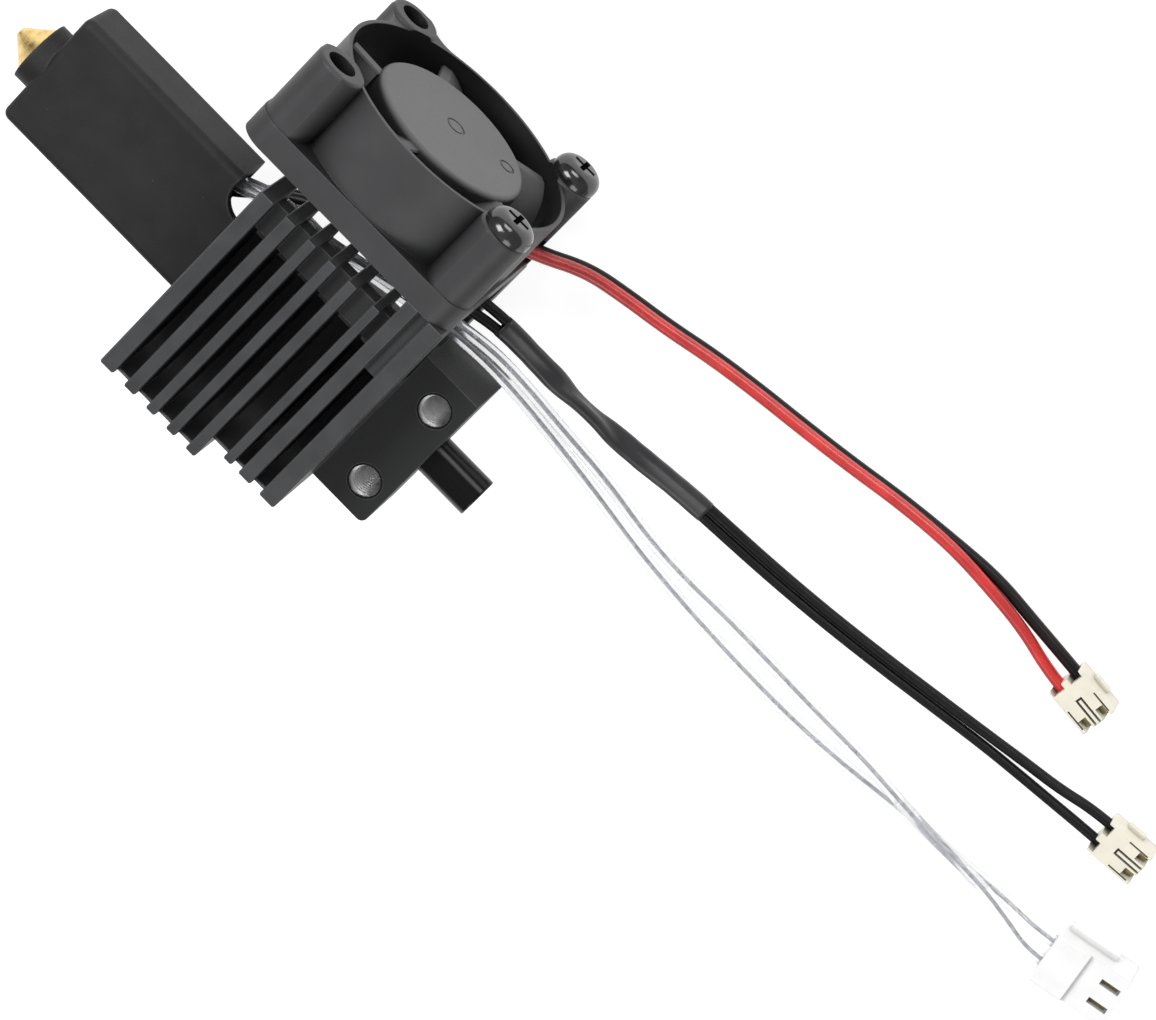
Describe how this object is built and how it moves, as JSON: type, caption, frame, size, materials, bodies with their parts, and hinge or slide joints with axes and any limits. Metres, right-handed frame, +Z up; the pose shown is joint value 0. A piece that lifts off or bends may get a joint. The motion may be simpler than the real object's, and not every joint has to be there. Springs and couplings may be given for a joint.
{
  "type": "3d printer hotend assembly",
  "caption": "Hotend with a brass nozzle under a silicone sock, a finned black heatsink with a mounting block and inlet tube, a side cooling fan, and three short leads with plugs.",
  "frame": {"origin": "centre of the base rectangle of the object without its leads, on the surface it lies on", "axes": "+X along the filament path from the nozzle tip to the inlet tube, +Y from the heatsink towards the cooling fan, +Z up while the part lies on its back"},
  "size_m": [0.1315, 0.0371, 0.025],
  "materials": {
    "nozzle_brass": "turned, pale gold, light wear at the tip",
    "block_metal": "machined",
    "heater_ceramic": "fired ceramic plate",
    "spring_steel": "rolled strip",
    "sensor_steel": "drawn tube",
    "sock_silicone": "moulded silicone, matt, faint specks of dust",
    "break_steel": "polished stainless",
    "black_anodised": "black anodised, satin",
    "tube_black": "smooth, one soft highlight",
    "insert_steel": "threaded, bright",
    "fan_plastic": "fine moulded grain",
    "rotor_plastic": "fine moulded grain",
    "shaft_steel": "ground",
    "bearing_bronze": "sintered bronze",
    "magnet_ferrite": "bonded ferrite",
    "lamination_steel": "stacked sheet",
    "winding_copper": "enamelled copper wire",
    "board_green": "solder mask",
    "screw_black": "black oxide, glossy",
    "heater_insulation": "translucent white sleeve with a grey core",
    "sensor_insulation": "soft black insulation",
    "fan_insulation_red": "soft red insulation",
    "fan_insulation_black": "soft black insulation",
    "sleeve_grey": "shrink sleeve, grey",
    "plug_ivory": "moulded, ivory",
    "plug_white": "moulded, white",
    "contact_metal": "dull plated spring contacts"
  },
  "bodies": {
    "hotend": {"nozzle": "nozzle_brass", "heater_block": "block_metal", "ceramic_heater": "heater_ceramic", "heater_clip": "spring_steel", "thermistor": "sensor_steel", "silicone_sock": "sock_silicone", "heat_break": "break_steel", "heatsink": "black_anodised", "inlet_tube": "tube_black", "thread_inserts": "insert_steel", "fan_frame": "fan_plastic", "fan_bearing": "bearing_bronze", "fan_stator_core": "lamination_steel", "fan_windings": "winding_copper", "fan_circuit_board": "board_green", "fan_screws": "screw_black", "heater_wire_a": "heater_insulation", "heater_wire_b": "heater_insulation", "thermistor_wire_a": "sensor_insulation", "thermistor_wire_b": "sensor_insulation", "fan_wire_red": "fan_insulation_red", "fan_wire_black": "fan_insulation_black", "thermistor_sleeve": "sleeve_grey", "fan_plug_housing": "plug_ivory", "fan_plug_contacts": "contact_metal", "thermistor_plug_housing": "plug_ivory", "thermistor_plug_contacts": "contact_metal", "heater_plug_housing": "plug_white", "heater_plug_contacts": "contact_metal"},
    "rotor": {"fan_rotor": "rotor_plastic", "fan_shaft": "shaft_steel", "fan_retaining_clip": "spring_steel", "fan_magnet": "magnet_ferrite"}
  },
  "joints": [
    {"name": "fan_spin", "type": "hinge", "parent": "hotend", "child": "rotor", "pos_m": [0.00465, 0.0115, 0.0125], "axis": [0, 1, 0], "continuous": true}
  ]
}
